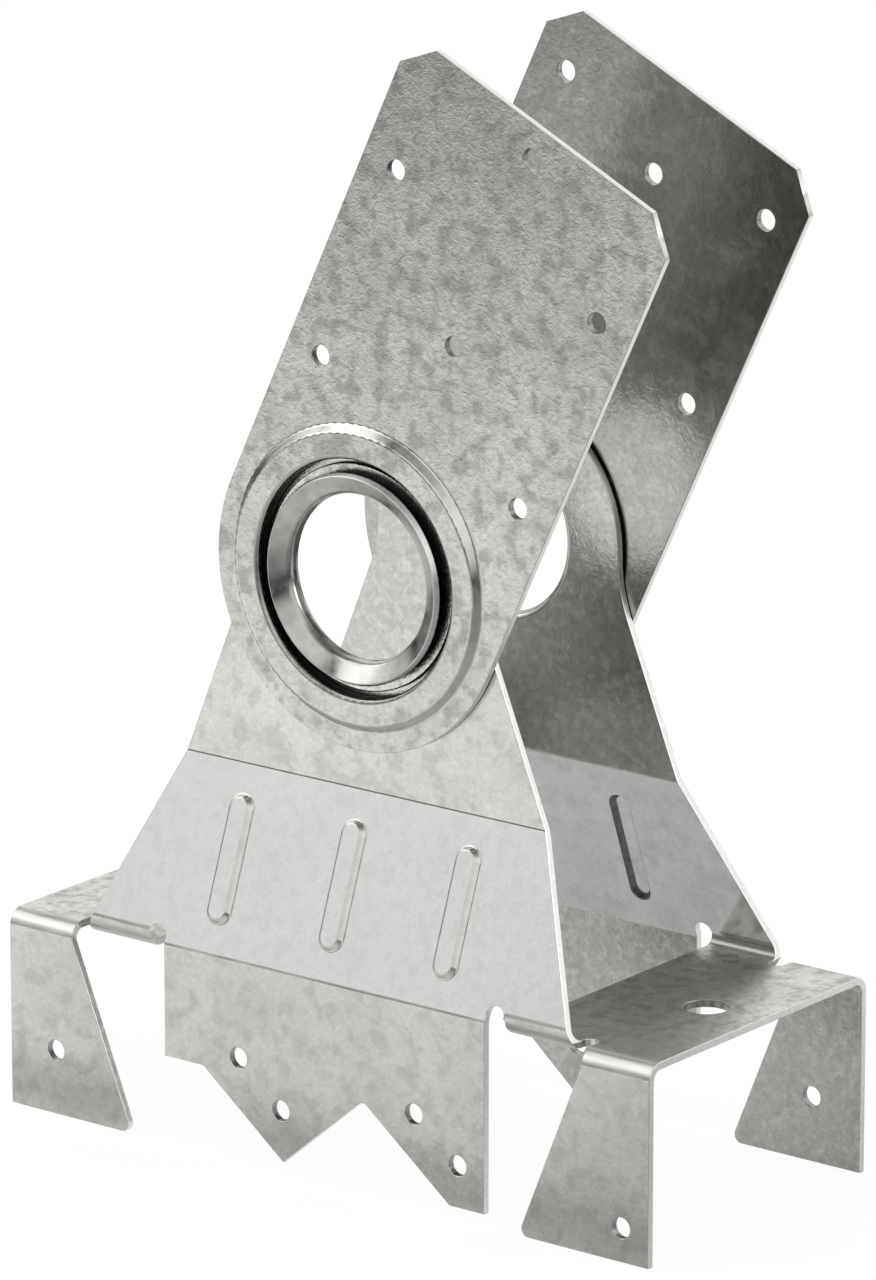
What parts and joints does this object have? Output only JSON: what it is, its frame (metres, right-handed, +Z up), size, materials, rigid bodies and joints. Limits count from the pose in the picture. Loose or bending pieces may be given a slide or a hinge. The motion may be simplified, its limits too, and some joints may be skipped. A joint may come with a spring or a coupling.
{
  "type": "truss hinge connector",
  "caption": "Galvanised sheet-steel hinge for timber trusses: a folded saddle with slanted walls and upright ears carries nailing plates that turn about drawn collars.",
  "frame": {"origin": "middle of the hinge axis, halfway between the two ears", "axes": "+Y along the hinge axis, towards the rear plate; +Z up; +X along the saddle, the way the plates lean"},
  "size_m": [0.1812, 0.081, 0.2582],
  "materials": {
    "galvanised_saddle": "galvanised, fine grain",
    "galvanised_plate": "galvanised, mottled",
    "bearing_ring": "galvanised, textured"
  },
  "bodies": {
    "saddle": {"saddle": "galvanised_saddle", "front_bearing_ring": "bearing_ring", "rear_bearing_ring": "bearing_ring"},
    "front_plate": {"front_plate": "galvanised_plate"},
    "rear_plate": {"rear_plate": "galvanised_plate"}
  },
  "joints": [
    {"name": "front_plate_swing", "type": "hinge", "parent": "saddle", "child": "front_plate", "pos_m": [0, -0.027, 0], "axis": [0, 1, 0], "range_deg": [-115.3, 64.7]},
    {"name": "rear_plate_swing", "type": "hinge", "parent": "saddle", "child": "rear_plate", "pos_m": [0, 0.027, 0], "axis": [0, 1, 0], "range_deg": [-115.3, 64.7]}
  ]
}
